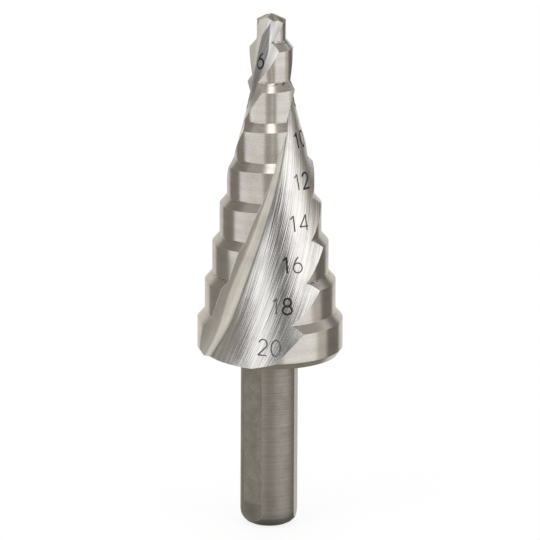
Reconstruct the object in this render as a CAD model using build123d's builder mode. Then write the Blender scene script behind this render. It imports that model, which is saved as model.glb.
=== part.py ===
from build123d import *
import math
import os

# Step drill: nine diameters from 4 to 20 mm on one cone, two right-hand spiral flutes,
# a notched point and a round shank with three flats.
# The origin is the centre of the shank's end face, and +Z runs up the axis to the point.
# Millimetres and degrees. A direction round the axis is counted from -Y, the front,
# and grows towards +X, the way the drill turns when it cuts.

os.makedirs("parts", exist_ok=True)

# Overall sizes
smallest_diameter = 4.0
diameter_step = 2.0
step_count = 9
shank_diameter = 8.0
shank_length = 24.5

# Steps: each shoulder falls away behind its cutting edge, as a cone turned off centre
step_pitch = 5.46
smallest_step_length = 3.66
shoulder_height = 1.15
shoulder_relief = 0.13
relief_lead = 45.0
rear_chamfer = 0.9
rear_chamfer_height = 0.6

# Point: a flat flank behind each lip, a steeper one at its heel, and a shallow notch in the web
point_angle = 132.0
flank_relief = 7.0
heel_relief = 36.0
heel_direction = 45.4
heel_start = 0.62
notch_direction = 11.7
notch_slope = 31.7
notch_lean = 80.8
notch_opening = 160.3
half_chisel = 0.12

# Flutes: the outline is given for a cone radius of 1, and grows with the cone
flute_count = 2
cutting_edge_direction = 161.9
helix_angle = 13.6
twist_per_mm = 1.15
opening = 83.5
exit_angle = 13.5
floor_start = 16.0
floor_depth = 0.22
rear_floor_start = 10.0
rear_floor_depth = 0.12
outline_reach = 2.2
section_count = 14

# Shank
flat_count = 3
flat_depth = 0.337
flat_direction = -38.7
end_rounding = 2.0
end_cones = 5

# Sizes that follow from the ones above
smallest_radius = smallest_diameter / 2
radius_step = diameter_step / 2
largest_radius = smallest_radius + (step_count - 1) * radius_step
shank_radius = shank_diameter / 2
shoulder_slope = shoulder_height / radius_step
head_bottom = shank_length
largest_bottom = head_bottom + rear_chamfer_height
smallest_bottom = largest_bottom + (step_count - 1) * step_pitch
overall_length = smallest_bottom + smallest_step_length
run_out_radius = largest_radius - radius_step
overlap = 1.0


def facing(direction, distance=1.0, height=0.0):
    """Point at a distance from the axis, in a direction counted from the front."""
    angle = math.radians(direction)
    return (distance * math.sin(angle), -distance * math.cos(angle), height)


def polar(distance, direction):
    """Point of a sketch, in a direction counted from its X axis."""
    angle = math.radians(direction)
    return (distance * math.cos(angle), distance * math.sin(angle))


def step_radius(index):
    """Radius of a step, counted from the point."""
    return smallest_radius + index * radius_step


def step_bottom(index):
    """Height of the lower edge of a step, counted from the point."""
    return smallest_bottom - index * step_pitch


def cone_height(radius):
    """Height at which the cone through the steps' lower edges has a radius."""
    return smallest_bottom - (radius - smallest_radius) / radius_step * step_pitch


def cone_radius(height):
    """Radius of that cone at a height."""
    return smallest_radius + (smallest_bottom - height) / step_pitch * radius_step


def edge_direction(radius):
    """Direction of the first cutting edge where the cone has a radius."""
    steady_twist = twist_per_mm * step_pitch * radius / radius_step
    cone_twist = math.degrees(math.tan(math.radians(helix_angle))) * step_pitch / radius_step
    return cutting_edge_direction - steady_twist - cone_twist * math.log(radius)


def land_step(index):
    """The half of a step that carries one land, up to its relieved shoulder."""
    radius = step_radius(index)
    inner_radius = step_radius(index - 1)
    shoulder_top = step_bottom(index - 1)
    bottom = max(step_bottom(index) - overlap, head_bottom)
    leading_edge = edge_direction(inner_radius)
    middle_of_flute = leading_edge + opening / 2
    cone_direction = leading_edge + relief_lead
    cone_axis = facing(cone_direction, shoulder_relief)
    across = facing(cone_direction)
    upright = Plane(origin=cone_axis, x_dir=across, z_dir=(across[1], -across[0], 0))
    reach = radius + overlap
    with BuildPart() as land:
        with BuildSketch(Plane.XY.offset(bottom)):
            Circle(radius)
        extrude(amount=shoulder_top + overlap - bottom)
        split(bisect_by=Plane(origin=(0, 0, 0), z_dir=facing(middle_of_flute - 90)))
        with BuildSketch(upright):
            with BuildLine():
                Polyline(
                    (0, bottom - overlap),
                    (reach, bottom - overlap),
                    (reach, shoulder_top - shoulder_slope * (reach - inner_radius)),
                    (0, shoulder_top + shoulder_slope * inner_radius),
                    close=True,
                )
            make_face()
        revolve(axis=Axis(cone_axis, (0, 0, 1)), mode=Mode.INTERSECT)
    return land.part


def flute():
    """The space of the first flute: one outline, turned and scaled along the cone."""
    rear_radius = cone_radius(head_bottom - overlap)
    point_radius = cone_radius(overall_length + overlap)
    heading_out = opening + 90 - exit_angle
    with BuildPart() as space:
        for section in range(section_count):
            share = section / (section_count - 1)
            radius = rear_radius * (point_radius / rear_radius) ** share
            run_out = max(0, (radius - run_out_radius) / (rear_radius - run_out_radius))
            start = floor_start + run_out * (rear_floor_start - floor_start)
            depth = floor_depth + run_out * (rear_floor_depth - floor_depth)
            heel = polar(radius, opening)
            exit_run = polar(radius, heading_out)
            place = Plane(
                origin=(0, 0, cone_height(radius)),
                x_dir=facing(edge_direction(radius)),
                z_dir=(0, 0, 1),
            )
            with BuildSketch(place):
                with BuildLine():
                    floor = TangentArc(
                        heel,
                        polar((1 - depth) * radius, start),
                        tangent=polar(-1, heading_out),
                    )
                    TangentArc(floor @ 1, (radius, 0), tangent=floor % 1)
                    Polyline(
                        (radius, 0),
                        polar(outline_reach * radius, 0),
                        polar(outline_reach * radius, opening / 2),
                        polar(outline_reach * radius, opening),
                        (heel[0] + exit_run[0], heel[1] + exit_run[1]),
                        heel,
                    )
                make_face()
        loft()
    return space.part


def falling_plane(origin, direction, slope):
    """Plane through a point that falls away in a direction by a slope."""
    steepness = math.radians(slope)
    return Plane(origin=origin, z_dir=facing(direction, math.sin(steepness), math.cos(steepness)))


def point_notch():
    """The notch in the web behind the first lip's heel, a wide V that runs out and down."""
    outward = facing(notch_direction, math.cos(math.radians(notch_slope)))
    fall = -math.sin(math.radians(notch_slope))
    reach = largest_radius
    with BuildPart() as notch:
        place = Plane(
            origin=facing(notch_direction + 90, half_chisel, overall_length),
            x_dir=facing(notch_direction + 90),
            z_dir=(outward[0], outward[1], fall),
        )
        with BuildSketch(place):
            with BuildLine():
                Polyline(
                    (0, 0),
                    polar(reach, 90 + notch_lean),
                    polar(reach, 90 + notch_lean - notch_opening),
                    close=True,
                )
            make_face()
        extrude(amount=reach)
    return notch.part


def shank():
    """The round shank with its end rounded by short cones and its flats, up into the head."""
    top = head_bottom + overlap
    flat_distance = shank_radius - flat_depth
    rounding = [(0, 0)]
    for cone in range(end_cones + 1):
        along, up = polar(end_rounding, -90 + 90 * cone / end_cones)
        rounding.append((shank_radius - end_rounding + along, end_rounding + up))
    with BuildPart() as bar:
        with BuildSketch(Plane.XZ):
            with BuildLine():
                Polyline(*rounding, (shank_radius, top), (0, top), close=True)
            make_face()
        revolve(axis=Axis.Z)
        with BuildSketch(Plane.XY):
            with PolarLocations(flat_distance, flat_count, start_angle=flat_direction - 90):
                Rectangle(flat_depth + overlap, shank_diameter, align=(Align.MIN, Align.CENTER))
        extrude(amount=head_bottom, mode=Mode.SUBTRACT)
    return bar.part


# Head: a plain cylinder for the smallest step, then each larger step under its shoulder
with BuildPart() as step_drill:
    with BuildSketch(Plane.XY.offset(smallest_bottom - overlap)):
        Circle(smallest_radius)
    extrude(amount=overall_length - smallest_bottom + overlap)
    for index in range(1, step_count):
        land = land_step(index)
        for flute_index in range(flute_count):
            add(land, rotation=(0, 0, flute_index * 360 / flute_count))
    rear_edges = step_drill.edges().group_by(Axis.Z)[0]
    chamfer(rear_edges, length=rear_chamfer, length2=rear_chamfer_height)

    # Flutes
    first_flute = flute()
    for flute_index in range(flute_count):
        turn = flute_index * 360 / flute_count
        add(first_flute, rotation=(0, 0, turn), mode=Mode.SUBTRACT)

    # Flanks of the point: each falls away behind its lip, and more steeply at its heel
    lip_fall = math.tan(math.radians(90 - point_angle / 2))
    lip_direction = edge_direction(cone_radius(overall_length - lip_fall * smallest_radius))
    flank_fall = math.tan(math.radians(flank_relief))
    steepest = lip_direction - math.degrees(math.atan2(flank_fall, lip_fall))
    fall = math.degrees(math.atan(math.hypot(flank_fall, lip_fall)))
    heel_height = overall_length - flank_fall * heel_start
    for flute_index in range(flute_count):
        turn = flute_index * 360 / flute_count
        heel = facing(lip_direction - 90 + turn, heel_start, heel_height)
        split(bisect_by=falling_plane((0, 0, overall_length), steepest + turn, fall), keep=Keep.BOTTOM)
        split(bisect_by=falling_plane(heel, heel_direction + turn, heel_relief), keep=Keep.BOTTOM)

    # Notches
    first_notch = point_notch()
    for flute_index in range(flute_count):
        turn = flute_index * 360 / flute_count
        add(first_notch, rotation=(0, 0, turn), mode=Mode.SUBTRACT)

    add(shank())

step_drill.part.label = "step_drill"
export_step(step_drill.part, "parts/step_drill.step")
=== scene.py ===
"""Looks of a step drill: turned, ground and milled tool steel, its size marks, a studio and a camera."""

import logging
import math
from dataclasses import dataclass, field, replace
from enum import Enum, IntEnum
from functools import reduce
from typing import Callable, ClassVar, Sequence

import bmesh
import bpy
import numpy as np
from mathutils import Matrix, Vector
from mathutils.bvhtree import BVHTree


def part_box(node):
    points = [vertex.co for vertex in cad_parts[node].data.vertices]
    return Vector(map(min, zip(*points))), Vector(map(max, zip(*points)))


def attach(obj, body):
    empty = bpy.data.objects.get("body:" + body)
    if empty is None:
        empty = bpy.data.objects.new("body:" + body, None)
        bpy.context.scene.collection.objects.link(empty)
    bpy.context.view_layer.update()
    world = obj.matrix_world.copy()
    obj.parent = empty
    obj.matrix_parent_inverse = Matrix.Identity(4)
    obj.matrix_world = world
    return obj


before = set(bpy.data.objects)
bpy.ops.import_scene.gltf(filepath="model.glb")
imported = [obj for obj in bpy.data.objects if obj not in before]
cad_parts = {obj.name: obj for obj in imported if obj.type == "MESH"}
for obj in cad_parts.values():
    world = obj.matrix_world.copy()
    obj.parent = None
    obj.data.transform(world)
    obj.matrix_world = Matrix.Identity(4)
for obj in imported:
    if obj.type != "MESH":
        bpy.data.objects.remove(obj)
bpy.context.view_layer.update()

MM = 0.001
NODE = "step_drill"
BODY = "root"

log = logging.getLogger("step_drill")

Colour = tuple[float, float, float]
Limits = tuple[float, float]
Point = tuple[float, float]
Place = tuple[float, float, float]
Numbers = np.ndarray | float
Socket = bpy.types.NodeSocket
Feed = Socket | float | Sequence[float]
Sockets = dict[str, Socket]
Outputs = bpy.types.bpy_prop_collection
Surface = tuple[Socket, Socket, Socket]


def outward(direction: float) -> Vector:
    """Level unit vector away from the axis, in degrees from the front, which is -Y, towards +X."""
    angle = math.radians(direction)
    return Vector((math.sin(angle), -math.cos(angle), 0.0))


def direction_of(x: np.ndarray, y: np.ndarray) -> np.ndarray:
    """Degrees from the front at which points lie round the axis, growing towards +X."""
    return np.degrees(np.arctan2(x, -y))


def opaque(colour: Colour, share: float = 1.0) -> tuple[float, float, float, float]:
    """A colour, or a darker share of it, with full cover."""
    return (*(share * part for part in colour), 1.0)


def placed(name: str, data: bpy.types.ID) -> bpy.types.Object:
    """Makes an object and puts it in the scene.

    Args:
        name: the object's name.
        data: its mesh, lamp or camera.

    Returns:
        The object.
    """
    made = bpy.data.objects.new(name, data)
    bpy.context.scene.collection.objects.link(made)
    return made


@dataclass(frozen=True)
class DrillForm:
    """Sizes of the drill, in millimetres and degrees."""

    smallest_radius: float = 2.0
    radius_step: float = 1.0
    step_count: int = 9
    step_pitch: float = 5.46
    shank_length: float = 24.5
    shank_radius: float = 4.0
    rear_chamfer_height: float = 0.6
    edge_direction_at_one: float = 161.9
    helix_angle: float = 13.6
    twist_per_mm: float = 1.15
    fillet_opening: float = 16.0
    rear_fillet_opening: float = 10.0
    run_out_radius: float = 9.0
    flute_count: int = 2
    point_height: float = 2.6

    @property
    def smallest_bottom(self) -> float:
        """Height of the lower edge of the smallest step."""
        return self.shank_length + self.rear_chamfer_height + (self.step_count - 1) * self.step_pitch

    @property
    def rear_radius(self) -> float:
        """Radius of the cone through the steps' lower edges, at the head's underside."""
        return self.cone_radius(self.shank_length)

    @property
    def cone_twist(self) -> float:
        """Degrees that the flute turns while the cone's radius grows by a factor of e."""
        return math.degrees(math.tan(math.radians(self.helix_angle))) * self.step_pitch / self.radius_step

    @property
    def steady_twist(self) -> float:
        """Degrees that the flute turns for each millimetre of the cone's radius."""
        return self.twist_per_mm * self.step_pitch / self.radius_step

    @property
    def flute_share(self) -> float:
        """Degrees from one flute to the next."""
        return 360 / self.flute_count

    def step_bottom(self, index: int) -> float:
        """Height of the lower edge of a step, counted from the point."""
        return self.smallest_bottom - index * self.step_pitch

    def cone_radius(self, height: Numbers) -> Numbers:
        """Radius of the cone through the steps' lower edges, at a height."""
        return self.smallest_radius + (self.smallest_bottom - height) / self.step_pitch * self.radius_step

    def edge_direction(self, radius: Numbers) -> Numbers:
        """Direction of the first cutting edge where the cone has a radius."""
        return self.edge_direction_at_one - self.steady_twist * radius - self.cone_twist * np.log(radius)

    def past_edge(self, direction: np.ndarray, radius: np.ndarray) -> np.ndarray:
        """Degrees from the nearer cutting edge into its flute, from -90 to 90 with two flutes."""
        half = self.flute_share / 2
        return (direction - self.edge_direction(radius) + half) % self.flute_share - half

    def fillet_end(self, radius: np.ndarray) -> np.ndarray:
        """Degrees past the cutting edge at which the flute's fillet meets its floor."""
        run_out = np.clip((radius - self.run_out_radius) / (self.rear_radius - self.run_out_radius), 0, 1)
        return self.fillet_opening + run_out * (self.rear_fillet_opening - self.fillet_opening)


class Region(IntEnum):
    """Parts of the surface that were made in different ways. The value is the material's place."""

    LAND = 0
    FLOOR = 1
    FILLET = 2
    POINT = 3
    SHANK = 4
    FLAT = 5


class Nodes:
    """Adds nodes to one node tree and links them."""

    def __init__(self, tree: bpy.types.NodeTree) -> None:
        """Takes the tree that the nodes go into."""
        self.tree = tree

    @classmethod
    def of(cls, owner: bpy.types.Material | bpy.types.World) -> "Nodes":
        """Starts the nodes of a material or a world.

        Args:
            owner: what gets the nodes, and loses those that it came with.

        Returns:
            What adds nodes to it.
        """
        owner.use_nodes = True
        owner.node_tree.nodes.clear()
        return cls(owner.node_tree)

    def add(
        self, kind: str, feeds: dict[str | int, Feed] | None = None, **settings: object
    ) -> bpy.types.Node:
        """Adds a node.

        Args:
            kind: the node's type.
            feeds: what goes into its inputs, a socket to link or a value to set.
            settings: the node's own properties.

        Returns:
            The node.
        """
        node = self.tree.nodes.new(kind)
        for name, value in settings.items():
            setattr(node, name, value)
        for key, value in (feeds or {}).items():
            if isinstance(value, Socket):
                self.tree.links.new(value, node.inputs[key])
            else:
                node.inputs[key].default_value = value
        return node

    def math(self, operation: str, *values: Feed) -> Socket:
        """Result of a math node."""
        return self.add("ShaderNodeMath", dict(enumerate(values)), operation=operation).outputs[0]

    def product(self, *factors: Feed) -> Socket:
        """Product of some numbers."""
        return reduce(lambda first, second: self.math("MULTIPLY", first, second), factors)

    def blend(self, share: float, first: Socket, second: Socket) -> Socket:
        """A share of one number and the rest of another."""
        return self.math("MULTIPLY_ADD", first, share, self.math("MULTIPLY", second, 1 - share))

    def vector(self, operation: str, *values: Feed) -> Socket:
        """Result of a vector math node, the number where the operation gives one."""
        node = self.add("ShaderNodeVectorMath", dict(enumerate(values)), operation=operation)
        return node.outputs["Value" if operation in ("DOT_PRODUCT", "LENGTH") else "Vector"]

    def level(self, x: Feed, y: Feed) -> Socket:
        """A vector without height."""
        return self.add("ShaderNodeCombineXYZ", {0: x, 1: y}).outputs[0]

    def scaled(self, vector: Socket, factor: Feed) -> Socket:
        """A vector times a number."""
        feeds = {0: vector, "Scale": factor}
        return self.add("ShaderNodeVectorMath", feeds, operation="SCALE").outputs[0]

    def around(self) -> Socket:
        """The way that runs round the object's axis."""
        return self.add("ShaderNodeTangent", direction_type="RADIAL", axis="Z").outputs[0]

    def noise(self, place: Feed, scale: float = 1.0, detail: float = 2.0, line: bool = False) -> Socket:
        """Noise from 0 to 1.

        Args:
            place: a vector, or one number for noise along a line.
            scale: grains for each unit of the place.
            detail: how many finer layers are added.
            line: whether the place is one number.

        Returns:
            The noise's value.
        """
        node = self.add(
            "ShaderNodeTexNoise",
            {"W" if line else "Vector": place, "Scale": scale, "Detail": detail},
            noise_dimensions="1D" if line else "3D",
        )
        return node.outputs[0]

    def spread(
        self, value: Feed, low: Feed, high: Feed, to_low: float = 0.0, to_high: float = 1.0
    ) -> Socket:
        """A value between two limits, eased and moved to two others."""
        feeds = {"Value": value, "From Min": low, "From Max": high, "To Min": to_low, "To Max": to_high}
        return self.add("ShaderNodeMapRange", feeds, interpolation_type="SMOOTHSTEP").outputs[0]

    def mix(self, share: Feed, first: Feed, second: Feed) -> Socket:
        """Mix of two colours."""
        node = self.add("ShaderNodeMix", {0: share, 6: first, 7: second}, data_type="RGBA")
        return node.outputs[2]

    def show(self, kind: str, surface: Socket) -> None:
        """Ends the tree with its output node."""
        self.add(kind, {"Surface": surface})


@dataclass(frozen=True)
class Ramp:
    """An eased change from one level to another, while a measure goes from its start to its end."""

    start: float
    end: float
    before: float = 0.0
    after: float = 1.0

    def at(self, nodes: Nodes, measure: Socket) -> Socket:
        """The level at a measure, such as a height in millimetres."""
        return nodes.spread(measure, self.start, self.end, self.before, self.after)


class Effect:
    """A pattern that several materials use, as a node group that is built once."""

    NAME: ClassVar[str]
    TAKES: ClassVar[dict[str, float]] = {}

    @classmethod
    def fill(cls, nodes: Nodes, given: Outputs) -> Sockets:
        """Builds the group's nodes, and gives what feeds each of its outputs."""
        raise NotImplementedError

    @classmethod
    def tree(cls) -> bpy.types.NodeTree:
        """The group, built on the first call.

        Returns:
            The group's node tree.
        """
        found = bpy.data.node_groups.get(cls.NAME)
        if found:
            return found
        tree = bpy.data.node_groups.new(cls.NAME, "ShaderNodeTree")
        for name, start in cls.TAKES.items():
            socket = tree.interface.new_socket(name, in_out="INPUT", socket_type="NodeSocketFloat")
            socket.default_value = start
        nodes = Nodes(tree)
        result = cls.fill(nodes, nodes.add("NodeGroupInput").outputs)
        for name, socket in result.items():
            kind = "NodeSocketVector" if socket.type == "VECTOR" else "NodeSocketFloat"
            tree.interface.new_socket(name, in_out="OUTPUT", socket_type=kind)
        nodes.add("NodeGroupOutput", result)
        return tree

    @classmethod
    def place(cls, nodes: Nodes, **feeds: Feed) -> Outputs:
        """Puts the group in a material with its own values, and gives its outputs."""
        return nodes.add("ShaderNodeGroup", feeds, node_tree=cls.tree()).outputs


class AxisPlace(Effect):
    """Where a point lies, as distance from the axis, direction round it and height, in millimetres."""

    NAME = "axis_place"

    @classmethod
    def fill(cls, nodes: Nodes, given: Outputs) -> Sockets:
        """Turns the object's coordinates into a place round its axis.

        Args:
            nodes: what adds nodes to the group.
            given: the group's inputs, not used.

        Returns:
            What feeds each output.
        """
        place = nodes.scaled(nodes.add("ShaderNodeTexCoord").outputs["Object"], 1 / MM)
        x, y, height = nodes.add("ShaderNodeSeparateXYZ", {0: place}).outputs
        turn = nodes.math("ARCTAN2", x, nodes.math("MULTIPLY", y, -1.0))
        return {
            "Radius": nodes.vector("LENGTH", nodes.level(x, y)),
            "Direction": nodes.math("DEGREES", turn),
            "Height": height,
            "Place": place,
        }


class FlutePlace(Effect):
    """Where a point lies in its flute, and the way that the grinding wheel went over it."""

    NAME = "flute_place"
    FORM: ClassVar[DrillForm] = DrillForm()
    LEAST_CONE: ClassVar[float] = 0.5

    @classmethod
    def fill(cls, nodes: Nodes, given: Outputs) -> Sockets:
        """Measures the direction past the cutting edge, and the helix that runs through the point.

        Args:
            nodes: what adds nodes to the group.
            given: the group's inputs, not used.

        Returns:
            What feeds each output.
        """
        form = cls.FORM
        place = AxisPlace.place(nodes)
        radius, direction, height = place["Radius"], place["Direction"], place["Height"]
        taper = form.radius_step / form.step_pitch
        drop = nodes.math("SUBTRACT", form.smallest_bottom, height)
        cone = nodes.math("MULTIPLY_ADD", drop, taper, form.smallest_radius)
        cone = nodes.math("MAXIMUM", cone, cls.LEAST_CONE)
        steady = nodes.math("MULTIPLY", cone, form.steady_twist)
        growing = nodes.math("MULTIPLY", nodes.math("LOGARITHM", cone, math.e), form.cone_twist)
        edge = nodes.math("SUBTRACT", nodes.math("SUBTRACT", form.edge_direction_at_one, steady), growing)
        across = nodes.math("SUBTRACT", direction, edge)
        across = nodes.math("WRAP", across, 3 * form.flute_share / 4, -form.flute_share / 4)
        rise = nodes.math("DIVIDE", nodes.math("MULTIPLY", radius, -taper), cone)
        turning = nodes.math("ADD", nodes.math("DIVIDE", form.cone_twist, cone), form.steady_twist)
        turning = nodes.math("RADIANS", nodes.math("MULTIPLY", turning, taper))
        angle = nodes.math("RADIANS", direction)
        sine, cosine = nodes.math("SINE", angle), nodes.math("COSINE", angle)
        out = nodes.scaled(nodes.level(sine, nodes.math("MULTIPLY", cosine, -1.0)), rise)
        aside = nodes.scaled(nodes.level(cosine, sine), nodes.math("MULTIPLY", turning, radius))
        along = nodes.vector("ADD", nodes.vector("ADD", out, aside), (0.0, 0.0, 1.0))
        return {"Across": across, "Cone": cone, "Along": along, "Height": height}


class TurnedRings(Effect):
    """Fine rings that a lathe or a cylindrical grinder leaves round the axis."""

    NAME = "turned_rings"
    TAKES = {"Spacing": 0.15, "Band": 1.4}
    FINE_SHARE: ClassVar[float] = 0.6

    @classmethod
    def fill(cls, nodes: Nodes, given: Outputs) -> Sockets:
        """Draws noise along the profile, so that it runs in rings on walls, shoulders and end faces.

        Args:
            nodes: what adds nodes to the group.
            given: the group's inputs.

        Returns:
            What feeds each output.
        """
        place = AxisPlace.place(nodes)
        profile = nodes.math("ADD", place["Height"], place["Radius"])
        fine = nodes.noise(nodes.math("DIVIDE", profile, given["Spacing"]), detail=3.0, line=True)
        broad = nodes.noise(nodes.math("DIVIDE", profile, given["Band"]), detail=1.0, line=True)
        return {"Ring": fine, "Tone": nodes.blend(cls.FINE_SHARE, fine, broad)}


class GrindStreaks(Effect):
    """Long scratches that run along the flute, the way that it was ground or milled."""

    NAME = "grind_streaks"
    TAKES = {"Pitch": 0.17, "Length": 30.0, "Middle": 45.0}
    BROADER: ClassVar[Place] = (0.22, 1.4, 1.0)

    @classmethod
    def fill(cls, nodes: Nodes, given: Outputs) -> Sockets:
        """Draws noise that is fine across the flute and long along it.

        Args:
            nodes: what adds nodes to the group.
            given: the group's inputs.

        Returns:
            What feeds each output.
        """
        place = FlutePlace.place(nodes)
        across = nodes.math("RADIANS", nodes.math("SUBTRACT", place["Across"], given["Middle"]))
        across = nodes.math("DIVIDE", nodes.math("MULTIPLY", across, place["Cone"]), given["Pitch"])
        at = nodes.level(across, nodes.math("DIVIDE", place["Height"], given["Length"]))
        streak = nodes.noise(nodes.vector("MULTIPLY", at, cls.BROADER))
        return {"Scratch": nodes.noise(at, detail=3.0), "Streak": streak, "Along": place["Along"]}


class Stain(Effect):
    """Soft irregular patches, such as fingermarks, oil and uneven scale."""

    NAME = "stain"
    TAKES = {"Patch": 2.5, "Least": 0.45, "Most": 0.75}
    SPECKS_PER_MM: ClassVar[float] = 7.0

    @classmethod
    def fill(cls, nodes: Nodes, given: Outputs) -> Sockets:
        """Makes patches of a given size, and finer specks.

        Args:
            nodes: what adds nodes to the group.
            given: the group's inputs.

        Returns:
            What feeds each output.
        """
        place = AxisPlace.place(nodes)["Place"]
        patch = nodes.noise(nodes.vector("DIVIDE", place, given["Patch"]), detail=3.0)
        amount = nodes.spread(patch, given["Least"], given["Most"])
        return {"Amount": amount, "Speck": nodes.noise(place, cls.SPECKS_PER_MM)}


class EdgeWear(Effect):
    """Bright edges, partly real wear and partly a painted highlight, painted shade in the corners, and a
    normal that is rounded over both.
    """

    NAME = "edge_wear_sheen_and_shade"
    TAKES = {"Width": 0.00008, "Reach": 0.0004}
    BENT: ClassVar[Ramp] = Ramp(0.004, 0.06)
    FREE: ClassVar[Ramp] = Ramp(0.75, 0.95)
    CLOSED_IN: ClassVar[Ramp] = Ramp(0.85, 0.4)
    EDGE_SAMPLES: ClassVar[int] = 6
    CORNER_SAMPLES: ClassVar[int] = 8

    @classmethod
    def fill(cls, nodes: Nodes, given: Outputs) -> Sockets:
        """Finds edges by the bend of the rounded normal, and corners by what shades them.

        Args:
            nodes: what adds nodes to the group.
            given: the group's inputs.

        Returns:
            What feeds each output.
        """
        feeds = {"Radius": given["Width"]}
        rounded = nodes.add("ShaderNodeBevel", feeds, samples=cls.EDGE_SAMPLES).outputs[0]
        normal = nodes.add("ShaderNodeNewGeometry").outputs["Normal"]
        bend = nodes.math("SUBTRACT", 1.0, nodes.vector("DOT_PRODUCT", rounded, normal))
        feeds = {"Distance": given["Reach"]}
        settings = {"samples": cls.CORNER_SAMPLES, "only_local": True}
        openness = nodes.add("ShaderNodeAmbientOcclusion", feeds, **settings).outputs["AO"]
        # The edge mask is real wear with a painted highlight on open edges; the corner mask is painted
        # shade where the surface is closed in
        edge = nodes.product(cls.BENT.at(nodes, bend), cls.FREE.at(nodes, openness))
        return {"Edge": edge, "Corner": cls.CLOSED_IN.at(nodes, openness), "Rounded": rounded}


@dataclass(frozen=True)
class SteelFinish:
    """A finish of tool steel. Colours are linear, and relief is in millimetres."""

    name: str
    bright: Colour
    dull: Colour
    # Colour of the edges: real wear with a painted highlight
    edge: Colour
    roughness: float
    rough_spread: float
    anisotropic: float
    relief: float
    stain: float = 0.25
    patch: float = 2.5
    grain: float = 0.0
    grazing: float = 0.0
    metallic: float = 1.0
    shadow_share: float = 0.3
    shadow_rough: float = 0.0
    fades: tuple[Ramp, ...] = ()
    SPOT_SHARE: ClassVar[float] = 0.6
    SPOT_ROUGH: ClassVar[float] = 0.15
    GRAIN_SHARE: ClassVar[float] = 0.5
    GRAIN: ClassVar[Ramp] = Ramp(0.35, 0.65)
    GRAZING_COLOUR: ClassVar[Colour] = (1.0, 0.98, 0.94)
    ASLANT: ClassVar[Ramp] = Ramp(0.68, 0.9)
    QUARTER_TURN: ClassVar[float] = 0.25

    def shadow(self, nodes: Nodes) -> Feed:
        """Painted shade, here by the surface's height alone.

        Args:
            nodes: what adds nodes to the material.

        Returns:
            How dark it is, from 0 to 1.
        """
        shade = 0.0
        for height_shade in self.fades:
            shade = nodes.math("ADD", height_shade.at(nodes, AxisPlace.place(nodes)["Height"]), shade)
        return shade

    def metal(self, nodes: Nodes) -> Feed:
        """How much of the light the surface mirrors, from 0 to 1."""
        return self.metallic

    def pattern(self, nodes: Nodes) -> Surface:
        """Tone of the surface, height of its relief and the way that its lines run."""
        raise NotImplementedError

    def build(self) -> bpy.types.Material:
        """Makes the material.

        Returns:
            The material.
        """
        material = bpy.data.materials.new(self.name)
        nodes = Nodes.of(material)
        tone, height, along = self.pattern(nodes)
        wear_and_shade = EdgeWear.place(nodes)
        stain = Stain.place(nodes, Patch=self.patch)
        spots = nodes.math("MULTIPLY", stain["Amount"], self.stain)
        # Real stains, and painted shade in the corners, both darken the colour
        stains_and_shade = nodes.math("MAXIMUM", spots, wear_and_shade["Corner"])
        fine = nodes.math("MULTIPLY", self.GRAIN.at(nodes, stain["Speck"]), self.grain)
        shadow = self.shadow(nodes)
        colour = nodes.mix(tone, opaque(self.dull), opaque(self.bright))
        colour = nodes.mix(stains_and_shade, colour, opaque(self.dull, self.SPOT_SHARE))
        colour = nodes.mix(fine, colour, opaque(self.dull, self.GRAIN_SHARE))
        colour = nodes.mix(shadow, colour, opaque(self.dull, self.shadow_share))
        # Painted highlight along the edges, together with real wear
        colour = nodes.mix(wear_and_shade["Edge"], colour, opaque(self.edge))
        # Painted sheen: a paler colour where the surface turns away from the eye
        if self.grazing:
            facing = nodes.add("ShaderNodeLayerWeight").outputs["Facing"]
            sheen = nodes.math("MULTIPLY", self.ASLANT.at(nodes, facing), self.grazing)
            colour = nodes.mix(sheen, colour, opaque(self.GRAZING_COLOUR))
        half = 0.5 * self.rough_spread
        rough = nodes.math("MULTIPLY_ADD", stain["Speck"], self.rough_spread, self.roughness - half)
        rough = nodes.math("MULTIPLY_ADD", spots, self.SPOT_ROUGH, rough)
        rough = nodes.math("MULTIPLY_ADD", tone, -half, rough)
        rough = nodes.math("MULTIPLY_ADD", shadow, self.shadow_rough, rough)
        feeds = {"Height": height, "Distance": self.relief * MM, "Strength": 1.0}
        bump = nodes.add("ShaderNodeBump", feeds | {"Normal": wear_and_shade["Rounded"]}).outputs[0]
        shader = nodes.add(
            "ShaderNodeBsdfPrincipled",
            {
                "Base Color": colour,
                "Metallic": self.metal(nodes),
                "Roughness": rough,
                "Anisotropic": self.anisotropic,
                "Anisotropic Rotation": self.QUARTER_TURN,
                "Normal": bump,
                "Tangent": along,
            },
        )
        nodes.show("ShaderNodeOutputMaterial", shader.outputs[0])
        return material


@dataclass(frozen=True)
class RingedFinish(SteelFinish):
    """Steel that was turned or ground round its axis."""

    ring_spacing: float = 0.2
    band: float = 1.4
    TONE: ClassVar[Ramp] = Ramp(0.3, 0.7)

    def pattern(self, nodes: Nodes) -> Surface:
        """Rings round the axis."""
        rings = TurnedRings.place(nodes, Spacing=self.ring_spacing, Band=self.band)
        return self.TONE.at(nodes, rings["Tone"]), rings["Ring"], nodes.around()


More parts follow.
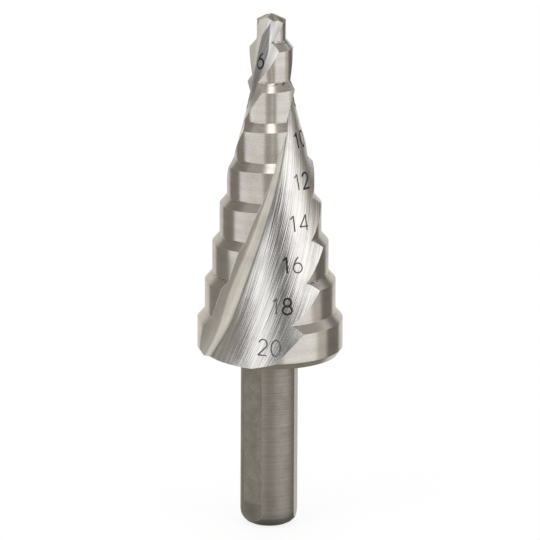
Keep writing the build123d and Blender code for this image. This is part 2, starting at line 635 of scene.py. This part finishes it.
@dataclass(frozen=True)
class LandFinish(RingedFinish):
    """Turned steel, with painted shade: slight halfway up, and in broken lines where each shoulder meets
    the step above it.
    """

    dull_middle: float = 45.0
    duller: Ramp = Ramp(6.0, 12.0, 0.15, 0.0)
    near_corner: Ramp = Ramp(0.42, 0.06)
    corner_drop: float = 0.1
    stretch: Place = (1.0, 1.0, 2.2)
    broken_scale: float = 2.0
    broken: Ramp = Ramp(0.46, 0.7)
    here_scale: float = 0.16
    here: Ramp = Ramp(0.4, 0.6)
    everywhere: Ramp = Ramp(56.0, 60.0)
    above_chamfer: Ramp = Ramp(1.0, 2.0)
    form: DrillForm = DrillForm()

    def grime(self, nodes: Nodes) -> Socket:
        """Painted shade in broken dark lines along the inner corners, in places, and all round near the
        point.

        Args:
            nodes: what adds nodes to the material.

        Returns:
            How much shade is painted, from 0 to 1.
        """
        found = AxisPlace.place(nodes)
        place, height = found["Place"], found["Height"]
        half = self.form.step_pitch / 2
        rise = nodes.math("SUBTRACT", height, self.form.smallest_bottom - self.corner_drop)
        away = nodes.math("ABSOLUTE", nodes.math("WRAP", rise, half, -half))
        stretched = nodes.vector("MULTIPLY", place, self.stretch)
        broken = self.broken.at(nodes, nodes.noise(stretched, self.broken_scale, detail=3.0))
        here = self.here.at(nodes, nodes.noise(place, self.here_scale, detail=1.0))
        anywhere = nodes.math("MAXIMUM", here, self.everywhere.at(nodes, height))
        over_lowest = nodes.math("SUBTRACT", height, self.form.step_bottom(self.form.step_count - 1))
        on_steps = self.above_chamfer.at(nodes, over_lowest)
        return nodes.product(self.near_corner.at(nodes, away), on_steps, broken, anywhere)

    def shadow(self, nodes: Nodes) -> Feed:
        """Painted shade: slight halfway up, and along the inner corners.

        Args:
            nodes: what adds nodes to the material.

        Returns:
            How dark the surface is, from 0 to 1.
        """
        height = AxisPlace.place(nodes)["Height"]
        from_middle = nodes.math("ABSOLUTE", nodes.math("SUBTRACT", height, self.dull_middle))
        return nodes.math("MAXIMUM", self.duller.at(nodes, from_middle), self.grime(nodes))


@dataclass(frozen=True)
class MottledFinish(SteelFinish):
    """Steel with no clear direction, dull and patchy."""

    mottle_limits: Limits = (0.3, 0.7)
    mottle_share: float = 0.6

    def pattern(self, nodes: Nodes) -> Surface:
        """Patches and specks.

        Args:
            nodes: what adds nodes to the material.

        Returns:
            Tone, height and direction.
        """
        least, most = self.mottle_limits
        stain = Stain.place(nodes, Patch=self.patch / 2, Least=least, Most=most)
        tone = nodes.blend(self.mottle_share, stain["Amount"], stain["Speck"])
        return tone, stain["Speck"], nodes.around()


@dataclass(frozen=True)
class StreakedFinish(SteelFinish):
    """Steel that was ground or milled along its flute."""

    pitch: float = 0.17
    middle: float = 45.0
    below_tip: Ramp = Ramp(61.0, 68.0, 1.0, 0.0)
    tip_metallic: float = 1.0
    form: DrillForm = DrillForm()
    SCRATCH_SHARE: ClassVar[float] = 0.5
    TONE: ClassVar[Ramp] = Ramp(0.32, 0.62)

    def streaks(self, nodes: Nodes, pitch: float) -> Outputs:
        """Scratches of a pitch along the flute."""
        return GrindStreaks.place(nodes, Pitch=pitch, Middle=self.middle)

    def fillet_end(self, nodes: Nodes, cone: Socket) -> Socket:
        """Degrees past the cutting edge at which the fillet meets the floor."""
        form, openings = self.form, (self.form.fillet_opening, self.form.rear_fillet_opening)
        return Ramp(form.run_out_radius, form.rear_radius, *openings).at(nodes, cone)

    def metal(self, nodes: Nodes) -> Feed:
        """Less of a mirror towards the point, where the grinding is rougher.

        Args:
            nodes: what adds nodes to the material.

        Returns:
            How much of the light the surface mirrors, from 0 to 1.
        """
        if self.tip_metallic == self.metallic:
            return self.metallic
        ramp = replace(self.below_tip, before=self.metallic, after=self.tip_metallic)
        return ramp.at(nodes, AxisPlace.place(nodes)["Height"])

    def pattern(self, nodes: Nodes) -> Surface:
        """Scratches along the flute.

        Args:
            nodes: what adds nodes to the material.

        Returns:
            Tone, height and direction.
        """
        streaks = self.streaks(nodes, self.pitch)
        scratch, streak = streaks["Scratch"], streaks["Streak"]
        tone = self.TONE.at(nodes, nodes.blend(self.SCRATCH_SHARE, scratch, streak))
        return tone, nodes.math("ADD", scratch, streak), streaks["Along"]


@dataclass(frozen=True)
class FloorFinish(StreakedFinish):
    """The flute's ground floor, with painted shade: a dark wedge near the point, and darker along both
    sides.
    """

    # The wedge's sides go by height from one direction past the cutting edge to another
    wedge_left: Ramp = Ramp(68.7, 71.9, 12.0, 56.0)
    wedge_right: Ramp = Ramp(71.9, 66.7, 56.0, 84.0)
    past_left: Ramp = Ramp(-3.0, 5.0)
    before_right: Ramp = Ramp(-3.0, 3.0)
    wedge_fade: Ramp = Ramp(58.0, 64.0)
    wedge_streaks: Ramp = Ramp(0.4, 0.65, 1.0, 0.8)
    start: Ramp = Ramp(5.0, 0.0, 0.0, 0.5)
    heel: Ramp = Ramp(62.0, 74.0)
    heel_streaks: Ramp = Ramp(0.42, 0.6)
    heel_fade: Ramp = Ramp(37.0, 31.0, 0.0, 0.55)
    broad_pitch: float = 0.3

    def wedge(self, nodes: Nodes, across: Socket, height: Socket) -> Socket:
        """The wedge of painted shade, between two lines across the flute.

        Args:
            nodes: what adds nodes to the material.
            across: degrees past the cutting edge.
            height: height in millimetres.

        Returns:
            1 inside the wedge.
        """
        from_left = nodes.math("SUBTRACT", across, self.wedge_left.at(nodes, height))
        to_right = nodes.math("SUBTRACT", self.wedge_right.at(nodes, height), across)
        sides = self.past_left.at(nodes, from_left), self.before_right.at(nodes, to_right)
        return nodes.product(*sides, self.wedge_fade.at(nodes, height))

    def shadow(self, nodes: Nodes) -> Feed:
        """Painted shade: the wedge, a dark start beside the fillet, and streaks along the heel.

        Args:
            nodes: what adds nodes to the material.

        Returns:
            How dark the surface is, from 0 to 1.
        """
        place = FlutePlace.place(nodes)
        across, height = place["Across"], place["Height"]
        streak = self.streaks(nodes, self.broad_pitch)["Scratch"]
        wedge = nodes.product(self.wedge(nodes, across, height), self.wedge_streaks.at(nodes, streak))
        past_fillet = nodes.math("SUBTRACT", across, self.fillet_end(nodes, place["Cone"]))
        start = nodes.product(self.start.at(nodes, past_fillet), self.below_tip.at(nodes, height))
        near_heel, in_streaks = self.heel.at(nodes, across), self.heel_streaks.at(nodes, streak)
        heel = nodes.product(near_heel, in_streaks, self.heel_fade.at(nodes, height))
        return nodes.math("MAXIMUM", wedge, nodes.math("MAXIMUM", start, heel))


@dataclass(frozen=True)
class FilletFinish(StreakedFinish):
    """The matte fillet along the cutting edge, with painted shade where it starts and where it ends."""

    edge_line: Ramp = Ramp(3.2, 1.2, 0.0, 0.5)
    floor_line: Ramp = Ramp(4.2, 0.0, 0.0, 0.85)

    def shadow(self, nodes: Nodes) -> Feed:
        """Painted shade: a dark line along each side of the fillet, below the point.

        Args:
            nodes: what adds nodes to the material.

        Returns:
            How dark the surface is, from 0 to 1.
        """
        place = FlutePlace.place(nodes)
        before_end = nodes.math("SUBTRACT", self.fillet_end(nodes, place["Cone"]), place["Across"])
        lines = self.edge_line.at(nodes, place["Across"]), self.floor_line.at(nodes, before_end)
        return nodes.product(nodes.math("MAXIMUM", *lines), self.below_tip.at(nodes, place["Height"]))


FINISHES: dict[Region, SteelFinish] = {
    Region.LAND: LandFinish(
        name="turned_steel", bright=(0.76, 0.72, 0.68), dull=(0.66, 0.62, 0.58), edge=(0.9, 0.88, 0.85),
        roughness=0.22, rough_spread=0.06, anisotropic=0.7, relief=0.0008, grain=0.22, ring_spacing=0.12,
    ),
    Region.FLOOR: FloorFinish(
        name="ground_flute_steel", bright=(0.95, 0.93, 0.915), dull=(0.7, 0.68, 0.655),
        edge=(0.95, 0.93, 0.91), roughness=0.14, rough_spread=0.08, anisotropic=0.6, relief=0.045,
        shadow_share=0.38, shadow_rough=0.4, tip_metallic=0.2,
    ),
    Region.FILLET: FilletFinish(
        name="milled_fillet_steel", bright=(0.86, 0.81, 0.74), dull=(0.67, 0.63, 0.56),
        edge=(0.86, 0.84, 0.80), roughness=0.52, rough_spread=0.08, anisotropic=0.3, relief=0.006,
        middle=8.0, metallic=0.5, tip_metallic=0.15, shadow_share=0.26,
    ),
    Region.POINT: StreakedFinish(
        name="ground_point_steel", bright=(0.64, 0.61, 0.54), dull=(0.32, 0.3, 0.245),
        edge=(0.75, 0.72, 0.66), roughness=0.3, rough_spread=0.1, anisotropic=0.3, relief=0.003,
    ),
    Region.SHANK: RingedFinish(
        name="dull_shank_steel", bright=(0.45, 0.415, 0.385), dull=(0.35, 0.32, 0.29),
        edge=(0.6, 0.57, 0.53), roughness=0.5, rough_spread=0.08, anisotropic=0.5, relief=0.002,
        grain=0.2, ring_spacing=0.12, band=0.26,
        # Painted shade: darker towards the shank's bottom end
        fades=(Ramp(2.6, 0.4, 0.0, 0.5), Ramp(14.0, 0.0, 0.0, 0.2)),
    ),
    Region.FLAT: MottledFinish(
        name="milled_flat_steel", bright=(0.37, 0.35, 0.3), dull=(0.26, 0.245, 0.205),
        edge=(0.6, 0.57, 0.53), roughness=0.5, rough_spread=0.1, anisotropic=0.2, relief=0.003,
        # Painted shade towards the flat's bottom end, and a painted sheen
        stain=0.3, patch=1.6, grain=0.3, grazing=0.9, fades=(Ramp(3.7, 3.2, 0.0, 0.35),),
    ),
}


@dataclass
class Drill:
    """The drill itself, the CAD node with a finish for each way that its surface was made."""

    form: DrillForm = field(default_factory=DrillForm)
    wall_lean: float = 0.05
    shoulder_lean: float = 0.45
    chamfer_lean: float = 0.3
    size_slack: float = 0.03
    round_slack: float = 0.01
    flat_slack: float = 0.1
    fillet_start: float = -45.0

    @property
    def length(self) -> float:
        """Height of the point, in millimetres."""
        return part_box(NODE)[1].z / MM

    def regions(self, mesh: bpy.types.Mesh) -> np.ndarray:
        """Sorts the faces by how the surface was made.

        Args:
            mesh: the drill's mesh, in metres.

        Returns:
            The region of each face.
        """
        count = len(mesh.polygons)
        centre, normal = np.zeros(count * 3), np.zeros(count * 3)
        mesh.polygons.foreach_get("center", centre)
        mesh.polygons.foreach_get("normal", normal)
        x, y, z = centre.reshape(-1, 3).T / MM
        nx, ny, nz = normal.reshape(-1, 3).T
        form = self.form
        radius = np.hypot(x, y)
        from_axis = nx * x + ny * y
        outward_part = from_axis / np.maximum(radius, self.size_slack)
        upright = np.abs(nz) < self.wall_lean
        index = np.round((radius - form.smallest_radius) / form.radius_step)
        on_step = np.abs(radius - form.smallest_radius - index * form.radius_step) < self.size_slack
        wall = on_step & upright & (outward_part > 1 - self.wall_lean)
        shoulder = (nz > self.shoulder_lean) & (outward_part > self.shoulder_lean)
        flat_end = z < form.shank_length + self.size_slack
        underside = (nz < -self.shoulder_lean) & (flat_end | (outward_part > self.chamfer_lean))
        cone = form.cone_radius(z)
        past = form.past_edge(direction_of(x, y), cone)
        found = np.full(count, Region.FLOOR)
        found[(past > self.fillet_start) & (past < form.fillet_end(cone))] = Region.FILLET
        found[wall | shoulder | underside] = Region.LAND
        tip = self.length - form.point_height
        found[(z > tip) & ~wall & (nz > self.shoulder_lean)] = Region.POINT
        shank = z < form.shank_length - self.size_slack
        found[shank] = Region.SHANK
        flat = shank & upright & (outward_part < 1) & (radius < form.shank_radius - self.round_slack)
        found[flat & (np.abs(from_axis) < form.shank_radius - self.flat_slack)] = Region.FLAT
        return found

    def dress(self) -> bpy.types.Object:
        """Gives each region of the CAD node its material.

        Returns:
            The node's object.
        """
        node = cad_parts[NODE]
        mesh = node.data
        mesh.materials.clear()
        for region in Region:
            mesh.materials.append(FINISHES[region].build())
        found = self.regions(mesh)
        mesh.polygons.foreach_set("material_index", found.astype(np.int32))
        mesh.update()
        counts = {region.name.lower(): int((found == region).sum()) for region in Region}
        log.info("%s: %d faces, %s", node.name, len(mesh.polygons), counts)
        return node


def arc(centre: Point, radii: Point, start: float, end: float, pieces: int = 16) -> list[Point]:
    """Points along an elliptical arc.

    Args:
        centre: the ellipse's centre.
        radii: its radii across and upright.
        start: degrees from +X at the first point, counter-clockwise.
        end: degrees at the last point.
        pieces: how many lines stand for the arc.

    Returns:
        The points.
    """
    turns = [math.radians(start + (end - start) * step / pieces) for step in range(pieces + 1)]
    return [(centre[0] + radii[0] * math.cos(t), centre[1] + radii[1] * math.sin(t)) for t in turns]


def oval(centre: Point, radii: Point, pieces: int = 24) -> tuple[Point, ...]:
    """Points round a whole ellipse, from its top."""
    return tuple(arc(centre, radii, 90, 450, pieces))


@dataclass(frozen=True)
class Digit:
    """One figure of the marks, drawn in single strokes in a box one high."""

    width: float
    strokes: tuple[tuple[Point, ...], ...]


DIGITS: dict[str, Digit] = {
    "0": Digit(0.62, (oval((0.31, 0.5), (0.3, 0.5), 28),)),
    "1": Digit(0.36, (((0.0, 0.8), (0.22, 1.0), (0.22, 0.0)),)),
    "2": Digit(0.6, ((*arc((0.3, 0.71), (0.28, 0.29), 165, -35), (0.0, 0.0), (0.6, 0.0)),)),
    "4": Digit(0.64, (((0.5, 0.0), (0.5, 1.0), (0.0, 0.27), (0.64, 0.27)),)),
    "6": Digit(
        0.62, (oval((0.31, 0.31), (0.3, 0.31)), ((0.035, 0.4), (0.09, 0.58), (0.2, 0.8), (0.38, 1.0)))
    ),
    "8": Digit(0.62, (oval((0.31, 0.75), (0.24, 0.25)), oval((0.31, 0.26), (0.3, 0.26)))),
}


class Ink(Enum):
    """How strongly the laser marked a figure, with the letter that stands for it."""

    DARK = "d"
    GREY = "g"


@dataclass(frozen=True)
class MarkFinish:
    """The dark oxide that a laser leaves in the steel, and the width of its line in millimetres."""

    name: str
    colour: Colour
    worn: Colour
    width: float
    patch: float = 0.5
    worn_limits: Limits = (0.4, 0.7)
    roughness: float = 0.45
    rough_spread: float = 0.2
    metallic: float = 0.3

    def build(self) -> bpy.types.Material:
        """Makes the material.

        Returns:
            The material.
        """
        material = bpy.data.materials.new(self.name)
        nodes = Nodes.of(material)
        least, most = self.worn_limits
        stain = Stain.place(nodes, Patch=self.patch, Least=least, Most=most)
        colour = nodes.mix(stain["Amount"], opaque(self.colour), opaque(self.worn))
        rough = nodes.math("MULTIPLY_ADD", stain["Speck"], self.rough_spread, self.roughness)
        feeds = {"Base Color": colour, "Metallic": self.metallic, "Roughness": rough}
        shader = nodes.add("ShaderNodeBsdfPrincipled", feeds)
        nodes.show("ShaderNodeOutputMaterial", shader.outputs[0])
        return material


MARK_FINISHES: dict[Ink, MarkFinish] = {
    Ink.DARK: MarkFinish("dark_mark", (0.012, 0.012, 0.012), (0.06, 0.058, 0.055), 0.27),
    Ink.GREY: MarkFinish("grey_mark", (0.1, 0.095, 0.09), (0.24, 0.23, 0.22), 0.2),
}
NUMBER_INKS: dict[str, str] = {
    "6": "d", "8": "d", "10": "dd", "12": "gd", "14": "gg", "16": "dg", "18": "gd", "20": "gg",
}


@dataclass
class SizeMarks:
    """The diameters in millimetres, marked by laser in each flute beside their steps."""

    form: DrillForm = field(default_factory=DrillForm)
    height: float = 2.1
    gap: float = 0.55
    above_step: float = 2.45
    past_edge: float = 57.0
    past_edge_growth: float = 1.6
    first_nudge: tuple[float, float] = (6.0, 0.4)
    raised: float = 0.012
    sunk: float = 0.03
    spacing: float = 0.07
    sight: float = 20.0
    first_marked: int = 1

    def resample(self, stroke: Sequence[Point]) -> list[Vector]:
        """Points at an even spacing along a stroke.

        Args:
            stroke: its corners, in millimetres.

        Returns:
            The points, the first and last corner among them.
        """
        points = [Vector(point) for point in stroke]
        places = [points[0]]
        for start, end in zip(points, points[1:]):
            count = max(1, round((end - start).length / self.spacing))
            places += [start.lerp(end, (step + 1) / count) for step in range(count)]
        return places

    def ribbon(
        self,
        builder: bmesh.types.BMesh,
        places: list[Vector],
        width: float,
        on_steel: Callable[[Vector], tuple[Vector, Vector]],
    ) -> None:
        """Adds one stroke as a closed band that lies on the steel.

        Args:
            builder: the mesh that takes it.
            places: points along its middle, flat.
            width: its width in millimetres.
            on_steel: gives the point of the steel under a flat point, and the normal there.
        """
        closed = (places[0] - places[-1]).length < self.spacing / 2
        if closed:
            places = places[:-1]
        count = len(places)
        rows = []
        for index, place in enumerate(places):
            before = places[(index - 1) % count] if closed else places[max(index - 1, 0)]
            after = places[(index + 1) % count] if closed else places[min(index + 1, count - 1)]
            way = (after - before).normalized()
            side = Vector((-way.y, way.x)) * width / 2
            row = []
            for edge, lifts in ((side, (-self.sunk, self.raised)), (-side, (self.raised, -self.sunk))):
                point, normal = on_steel(place + edge)
                row += [builder.verts.new(point + normal * lift * MM) for lift in lifts]
            rows.append(row)
        for index in range(count if closed else count - 1):
            first, second = rows[index], rows[(index + 1) % count]
            for corner in range(4):
                following = (corner + 1) % 4
                builder.faces.new((first[corner], second[corner], second[following], first[following]))
        if not closed:
            builder.faces.new(rows[0])
            builder.faces.new(reversed(rows[-1]))

    def build(self, node: bpy.types.Object) -> list[bpy.types.Object]:
        """Makes the marks of every flute.

        Args:
            node: the drill, which the marks lie on.

        Returns:
            The marks' objects.
        """
        tree = BVHTree.FromObject(node, bpy.context.evaluated_depsgraph_get())
        materials = [MARK_FINISHES[ink].build() for ink in Ink]
        flutes, steps = range(self.form.flute_count), range(self.first_marked, self.form.step_count)
        return [self.mark(tree, materials, flute, step) for flute in flutes for step in steps]

    def mark(
        self, tree: BVHTree, materials: list[bpy.types.Material], flute: int, step: int
    ) -> bpy.types.Object:
        """Makes one number.

        Args:
            tree: the drill's surface.
            materials: the inks, in order.
            flute: which flute it lies in.
            step: the step that it names, counted from the point.

        Returns:
            The number's object.
        """
        text = str(round(2 * (self.form.smallest_radius + step * self.form.radius_step)))
        turn, rise = self.first_nudge if step == self.first_marked else (0.0, 0.0)
        middle = self.form.step_bottom(step) + self.above_step + rise
        past = self.past_edge + self.past_edge_growth * (step - self.first_marked) + turn
        edge = self.form.edge_direction(self.form.cone_radius(middle))
        away = outward(edge + past + flute * self.form.flute_share)
        sight = self.sight * MM
        centre, normal, _, _ = tree.ray_cast(away * sight + Vector((0, 0, middle * MM)), -away)
        facing = Vector((normal.x, normal.y, 0.0)).normalized()
        right = Vector((-facing.y, facing.x, 0.0))

        def on_steel(place: Vector) -> tuple[Vector, Vector]:
            """Finds the steel under a flat point, along the mark's own line of sight.

            Args:
                place: the flat point, in millimetres from the number's middle.

            Returns:
                The point of the steel and the normal there.
            """
            start = centre + right * place.x * MM + Vector((0, 0, place.y * MM)) + facing * sight
            point, at, _, _ = tree.ray_cast(start, -facing)
            if point is None:
                point, at, _, _ = tree.find_nearest(start - facing * sight)
            return point, at

        total = sum(DIGITS[letter].width for letter in text) * self.height + self.gap * (len(text) - 1)
        builder = bmesh.new()
        left = -total / 2
        for letter, ink in zip(text, map(Ink, NUMBER_INKS[text])):
            before = len(builder.faces)
            for stroke in DIGITS[letter].strokes:
                flat = [(left + x * self.height, (y - 0.5) * self.height) for x, y in stroke]
                self.ribbon(builder, self.resample(flat), MARK_FINISHES[ink].width, on_steel)
            builder.faces.ensure_lookup_table()
            for face in builder.faces[before:]:
                face.material_index = list(Ink).index(ink)
            left += DIGITS[letter].width * self.height + self.gap
        bmesh.ops.recalc_face_normals(builder, faces=builder.faces)
        mesh = bpy.data.meshes.new(f"mark_{text}_flute_{flute + 1}")
        builder.to_mesh(mesh)
        builder.free()
        for material in materials:
            mesh.materials.append(material)
        mark = placed(mesh.name, mesh)
        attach(mark, BODY)
        log.info("%s: %d faces", mark.name, len(mesh.polygons))
        return mark


@dataclass
class PhotoCamera:
    """The camera of the photograph, fitted to the drill's outline in a picture 540 wide."""

    picture_width: float = 540.0
    focal_length: float = 9451.7
    sensor_width: float = 36.0
    distance: float = 1300.0
    elevation: float = 15.351
    target: Place = (-0.042, 0.0, 36.069)
    roll: float = 0.260
    clip: Limits = (0.05, 20.0)

    def build(self) -> bpy.types.Object:
        """Makes the camera and gives it to the scene.

        Returns:
            The camera.
        """
        data = bpy.data.cameras.new("photo_camera")
        data.sensor_width = self.sensor_width
        data.lens = self.focal_length / self.picture_width * self.sensor_width
        data.clip_start, data.clip_end = self.clip
        camera = placed("photo_camera", data)
        rise = math.radians(self.elevation)
        back = Vector((0.0, -math.cos(rise), math.sin(rise)))
        place = (Vector(self.target) + back * self.distance) * MM
        tilt = Matrix.Rotation(math.pi / 2 - rise, 4, "X")
        turn = Matrix.Rotation(math.radians(self.roll), 4, "Z")
        camera.matrix_world = Matrix.Translation(place) @ tilt @ turn
        bpy.context.scene.camera = camera
        log.info("%s: lens %.1f mm", camera.name, data.lens)
        return camera


@dataclass(frozen=True)
class Patch:
    """A lighter or darker area of the surroundings as the steel reflects them, in degrees."""

    start: float
    end: float
    low: float
    high: float
    shade: Colour
    soft: float = 10.0
    soft_height: float = 10.0

    def share(self, direction: np.ndarray, elevation: np.ndarray) -> np.ndarray:
        """How much of the patch shows.

        Args:
            direction: degrees from the front.
            elevation: degrees above level.

        Returns:
            A share from 0 to 1 for each place.
        """
        middle, half = (self.start + self.end) / 2, (self.end - self.start) / 2
        aside = np.abs((direction - middle + 180) % 360 - 180)
        upright = np.abs(elevation - (self.low + self.high) / 2)
        across = np.clip((half - aside) / self.soft + 0.5, 0, 1)
        along = np.clip(((self.high - self.low) / 2 - upright) / self.soft_height + 0.5, 0, 1)
        if half >= 180:
            across = np.ones_like(across)
        return (across * across * (3 - 2 * across)) * (along * along * (3 - 2 * along))


@dataclass
class Surroundings:
    """What the steel reflects: a pale room with soft darker areas, which only reflections see."""

    radius: float = 1.0
    height: float = 0.036
    columns: int = 180
    rows: int = 90
    pale: Colour = (1.0, 1.0, 1.0)
    # Directions from and to, elevations from and to, and the shade
    patches: tuple[Patch, ...] = (
        Patch(-180, 180, 36, 130, (0.5, 0.48, 0.45), soft_height=14),
        Patch(60, 150, 36, 75, (0.4, 0.38, 0.36), soft=30, soft_height=14),
        Patch(-28, 20, 57, 80, (2.1, 2.06, 2.0), soft=28, soft_height=14),
        Patch(24, 70, -3, 34, (1.1, 1.09, 1.08), soft=12),
        Patch(-64, -24, -34, -4, (0.9, 0.88, 0.85), soft=16, soft_height=8),
        Patch(-21, 21, -34, -3, (0.48, 0.455, 0.42), soft=14, soft_height=8),
        Patch(1, 9, -34, -3, (0.7, 0.67, 0.63), soft=8, soft_height=8),
        Patch(-20, 20, -3, 30, (0.18, 0.174, 0.165), soft=12, soft_height=8),
        Patch(-112, -64, 0, 30, (0.22, 0.212, 0.198), soft=11, soft_height=10),
        Patch(-138, -90, -32, 52, (0.29, 0.272, 0.243), soft=11),
        Patch(-222, -138, -60, 52, (0.74, 0.71, 0.66), soft=6),
        Patch(80, 101, -32, 30, (0.6, 0.57, 0.51), soft=8),
        Patch(101, 142, -60, 30, (0.21, 0.192, 0.178), soft=9),
        Patch(-140, 100, -52, -30, (0.8, 0.77, 0.72)),
        Patch(-180, 180, -130, -52, (0.25, 0.235, 0.2), soft_height=12),
    )

    def shades(self, places: np.ndarray) -> np.ndarray:
        """The colour that each place shows.

        Args:
            places: the places, from the middle.

        Returns:
            A colour for each.
        """
        x, y, z = places.T
        direction = direction_of(x, y)
        elevation = np.degrees(np.arctan2(z, np.hypot(x, y)))
        colours = np.tile(np.array(self.pale), (len(places), 1))
        for patch in self.patches:
            share = patch.share(direction, elevation)[:, None]
            colours = colours * (1 - share) + np.array(patch.shade) * share
        return colours

    def light(self) -> bpy.types.Material:
        """Makes the material that glows in the mesh's own colours.

        Returns:
            The material.
        """
        material = bpy.data.materials.new("room_light")
        nodes = Nodes.of(material)
        colour = nodes.add("ShaderNodeVertexColor", layer_name="shade").outputs["Color"]
        glow = nodes.add("ShaderNodeEmission", {"Color": colour}).outputs[0]
        nodes.show("ShaderNodeOutputMaterial", glow)
        return material

    def build(self) -> bpy.types.Object:
        """Makes the room.

        Returns:
            Its object.
        """
        builder = bmesh.new()
        bmesh.ops.create_uvsphere(
            builder, u_segments=self.columns, v_segments=self.rows, radius=self.radius
        )
        mesh = bpy.data.meshes.new("reflected_room")
        builder.to_mesh(mesh)
        builder.free()
        places = np.zeros(len(mesh.vertices) * 3)
        mesh.vertices.foreach_get("co", places)
        colours = self.shades(places.reshape(-1, 3))
        shade = mesh.color_attributes.new("shade", "FLOAT_COLOR", "POINT")
        shade.data.foreach_set("color", np.column_stack((colours, np.ones(len(colours)))).ravel())
        mesh.materials.append(self.light())
        room = placed("reflected_room", mesh)
        room.location = (0.0, 0.0, self.height)
        room.visible_camera = room.visible_diffuse = False
        room.visible_shadow = room.visible_transmission = False
        log.info("%s: %d patches", room.name, len(self.patches))
        return room


@dataclass(frozen=True)
class Softbox:
    """A square lamp that faces the drill."""

    name: str
    direction: float
    elevation: float
    size: float
    brightness: float
    distance: float = 0.7


@dataclass
class Studio:
    """A white floor and backdrop, and soft lamps."""

    floor_size: float = 8.0
    floor_colour: Colour = (0.9, 0.9, 0.9)
    floor_white: float = 1.07
    shadow_share: float = 0.2
    white: float = 1.0
    ambient: float = 0.55
    lift: Place = (0.0, 0.0, 0.04)
    # Name, direction, elevation, size and brightness
    boxes: tuple[Softbox, ...] = (
        Softbox("key_box", -48, 38, 0.42, 1.35),
        Softbox("fill_box", 58, 30, 0.42, 1.0),
        Softbox("top_box", 0, 68, 0.3, 1.3),
        Softbox("back_box", 180, 50, 0.5, 1.0),
    )

    def lamp(self, box: Softbox) -> bpy.types.Object:
        """Makes one softbox, which neither the camera nor the steel sees.

        Args:
            box: its place, size and brightness.

        Returns:
            The lamp.
        """
        data = bpy.data.lights.new(box.name, "AREA")
        data.shape = "SQUARE"
        data.size = box.size
        data.energy = box.brightness * math.pi * box.size**2
        lamp = placed(box.name, data)
        rise = math.radians(box.elevation)
        back = outward(box.direction) * math.cos(rise) + Vector((0, 0, math.sin(rise)))
        lamp.location = Vector(self.lift) + back * box.distance
        lamp.rotation_mode = "QUATERNION"
        lamp.rotation_quaternion = back.to_track_quat("Z", "Y")
        lamp.visible_camera = lamp.visible_glossy = False
        return lamp

    def seen(self, nodes: Nodes) -> Socket:
        """Tells the rays that show the studio itself: the camera's, reflected and refracted ones.

        Args:
            nodes: what adds nodes to the floor or the backdrop.

        Returns:
            1 for those rays.
        """
        path = nodes.add("ShaderNodeLightPath").outputs
        seen = nodes.math("MAXIMUM", path["Is Camera Ray"], path["Is Glossy Ray"])
        return nodes.math("MAXIMUM", seen, path["Is Transmission Ray"])

    def floor_finish(self) -> bpy.types.Material:
        """Makes the floor's material: white to the eye, with a soft shadow, and clear from below.

        Returns:
            The material.
        """
        material = bpy.data.materials.new("white_floor")
        nodes = Nodes.of(material)
        matte = nodes.add("ShaderNodeBsdfDiffuse", {"Color": opaque(self.floor_colour)}).outputs[0]
        glow = nodes.add("ShaderNodeEmission", {"Strength": self.floor_white}).outputs[0]
        share = nodes.math("MULTIPLY", self.seen(nodes), 1 - self.shadow_share)
        lit = nodes.add("ShaderNodeMixShader", {0: share, 1: matte, 2: glow}).outputs[0]
        clear = nodes.add("ShaderNodeBsdfTransparent").outputs[0]
        below = nodes.add("ShaderNodeNewGeometry").outputs["Backfacing"]
        surface = nodes.add("ShaderNodeMixShader", {0: below, 1: lit, 2: clear}).outputs[0]
        nodes.show("ShaderNodeOutputMaterial", surface)
        return material

    def floor(self) -> bpy.types.Object:
        """Makes the floor.

        Returns:
            The floor.
        """
        half = self.floor_size / 2
        corners = [(-half, -half, 0), (half, -half, 0), (half, half, 0), (-half, half, 0)]
        mesh = bpy.data.meshes.new("floor")
        mesh.from_pydata(corners, [], [(0, 1, 2, 3)])
        mesh.materials.append(self.floor_finish())
        floor = placed("floor", mesh)
        floor.visible_glossy = False
        return floor

    def backdrop(self) -> bpy.types.World:
        """Makes the world: white to the eye and in reflections, and plain soft light on the drill.

        Returns:
            The world.
        """
        world = bpy.data.worlds.new("white_studio")
        nodes = Nodes.of(world)
        feeds = {"Value": self.seen(nodes), "To Min": self.ambient, "To Max": self.white}
        strength = nodes.add("ShaderNodeMapRange", feeds).outputs[0]
        feeds = {"Strength": strength, "Color": (1.0, 1.0, 1.0, 1.0)}
        nodes.show("ShaderNodeOutputWorld", nodes.add("ShaderNodeBackground", feeds).outputs[0])
        bpy.context.scene.world = world
        return world

    def build(self) -> None:
        """Makes the floor, the backdrop and the lamps."""
        self.floor()
        self.backdrop()
        for box in self.boxes:
            self.lamp(box)
        bpy.context.scene.view_settings.view_transform = "Standard"
        log.info("studio: %d lamps", len(self.boxes))


def main() -> None:
    """Builds the drill's looks, its marks, the studio and the camera."""
    logging.basicConfig(level=logging.INFO, format="%(name)s: %(message)s")
    node = Drill().dress()
    marks = SizeMarks().build(node)
    log.info("marks: %d", len(marks))
    Studio().build()
    Surroundings().build()
    PhotoCamera().build()


if __name__ == "__main__":
    main()
